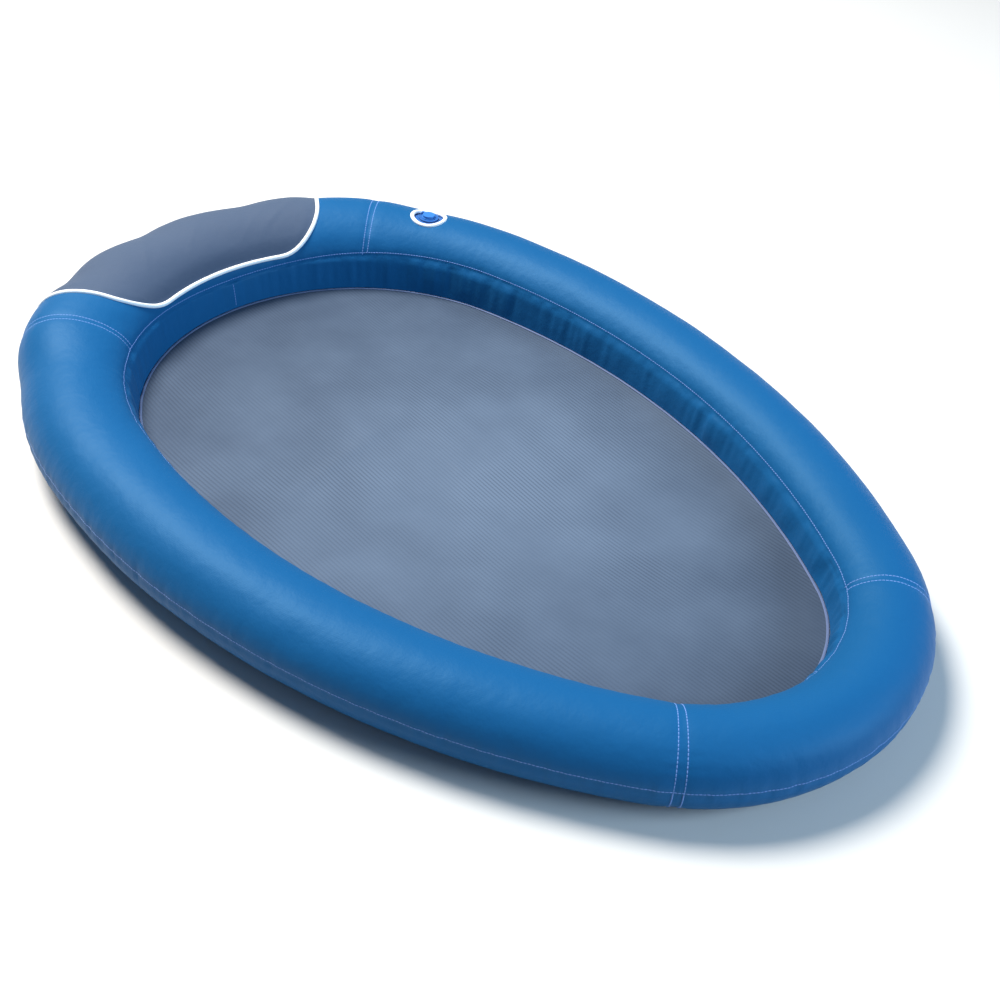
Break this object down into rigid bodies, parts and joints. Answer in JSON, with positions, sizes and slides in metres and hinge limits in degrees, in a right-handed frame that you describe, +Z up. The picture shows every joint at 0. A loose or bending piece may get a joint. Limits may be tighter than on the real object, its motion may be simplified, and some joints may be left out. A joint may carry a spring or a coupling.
{
  "type": "inflatable_pool_float",
  "caption": "Egg-shaped inflatable pool lounge: air tube in a sewn blue cloth cover round a grey net floor, grey headrest, white piping and a screw valve.",
  "frame": {"origin": "middle of the float's outline in plan, on the surface it lies on", "axes": "+Y toward the wide head end with the headrest, +Z up out of the water, +X toward the side with the valve"},
  "size_m": [1.1534, 1.65, 0.1554],
  "materials": {
    "cover_cloth": "satin",
    "headrest_cloth": "matte",
    "piping": "satin",
    "mesh_cloth": "matte",
    "binding_tape": "matte",
    "air_film": "gloss",
    "valve_plastic": "satin",
    "cap_plastic": "satin",
    "valve_rubber": "matte"
  },
  "bodies": {
    "float_shell": {"cover_top_head": "cover_cloth", "cover_top_left": "cover_cloth", "cover_top_right": "cover_cloth", "cover_top_foot": "cover_cloth", "cover_bottom_head": "cover_cloth", "cover_bottom_left": "cover_cloth", "cover_bottom_right": "cover_cloth", "cover_bottom_foot": "cover_cloth", "inner_wall_left": "cover_cloth", "inner_wall_right": "cover_cloth", "headrest_panel": "headrest_cloth", "headrest_piping": "piping", "valve_opening_piping": "piping", "mesh_floor": "mesh_cloth", "hem_binding": "binding_tape", "bladder_upper_film": "air_film", "bladder_lower_film": "air_film", "valve_base": "valve_plastic"},
    "tether": {"tether_ring": "cap_plastic"},
    "valve_core": {"valve_body": "valve_plastic", "valve_gasket": "valve_rubber"},
    "flap": {"check_flap": "valve_rubber"},
    "cap": {"valve_cap": "cap_plastic"}
  },
  "joints": [
    {"name": "valve_lift", "type": "slide", "parent": "float_shell", "child": "tether", "axis": [0, 0, 1], "range_m": [0, 0.012]},
    {"name": "valve_turn", "type": "hinge", "parent": "tether", "child": "valve_core", "pos_m": [0.40449, 0.52725, 0.14835], "axis": [0, 0, 1], "range_deg": [0, 1080]},
    {"name": "cap_hinge", "type": "hinge", "parent": "tether", "child": "cap", "pos_m": [0.40449, 0.54475, 0.15215], "axis": [-1, 0, 0], "range_deg": [0, 150]},
    {"name": "flap_travel", "type": "slide", "parent": "valve_core", "child": "flap", "axis": [0, 0, -1], "range_m": [0, 0.003], "stiffness_N_per_m": 20, "springref_m": -0.001}
  ],
  "couplings": [
    {"joint": "valve_turn", "follows": "valve_lift", "rad_per_m": 1570.8}
  ]
}
